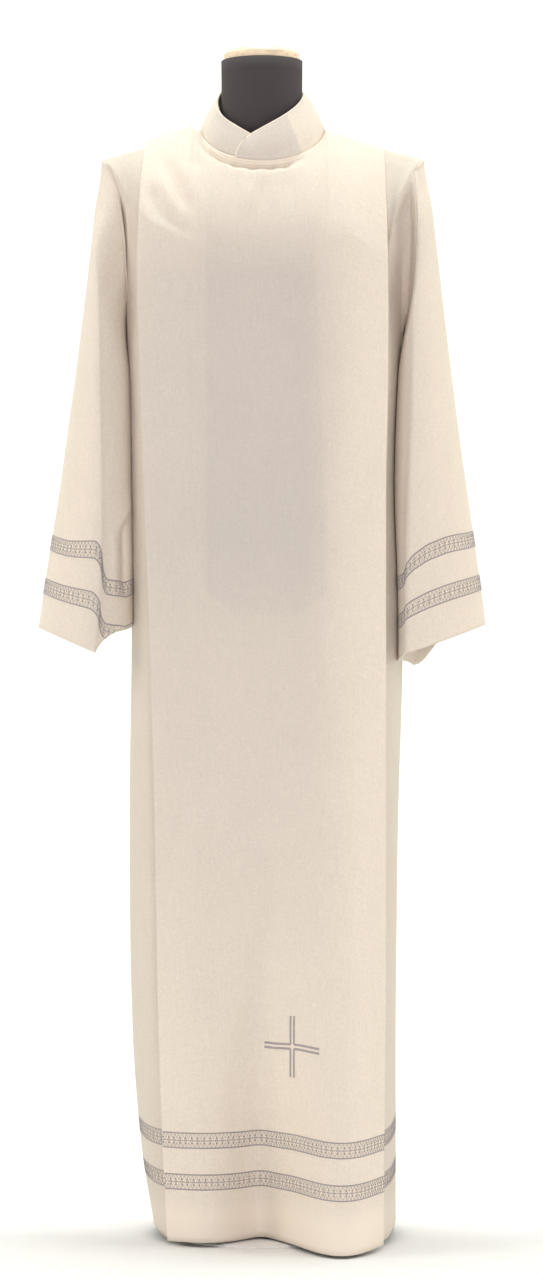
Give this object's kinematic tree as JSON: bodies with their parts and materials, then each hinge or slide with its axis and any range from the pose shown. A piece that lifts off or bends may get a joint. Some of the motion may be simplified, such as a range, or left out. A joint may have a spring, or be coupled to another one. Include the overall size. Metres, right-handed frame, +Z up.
{
  "type": "alb robe on a limbless dress form",
  "caption": "Long ivory alb with stand collar, pleated front panel, banded cuffs and hem, on a limbless dress form with a round foot.",
  "frame": {"origin": "middle of the underside of the dress form's round foot, on the floor", "axes": "+Z up, -Y the front of the robe, +X the wearer's left"},
  "size_m": [0.5997, 0.347, 1.5873],
  "materials": {
    "cloth": "fine plain weave, soft sheen",
    "form_cover": "matt jersey",
    "wood": "satin",
    "stand": "pale satin powder coat"
  },
  "bodies": {
    "root": {"front_panel": "cloth", "back_panel": "cloth", "side_front_left": "cloth", "side_front_right": "cloth", "side_back_left": "cloth", "side_back_right": "cloth", "sleeve_left": "cloth", "sleeve_right": "cloth", "collar_left": "cloth", "collar_right": "cloth", "form_torso": "form_cover", "form_cap": "wood", "form_pole": "stand", "form_base": "stand"}
  },
  "joints": []
}
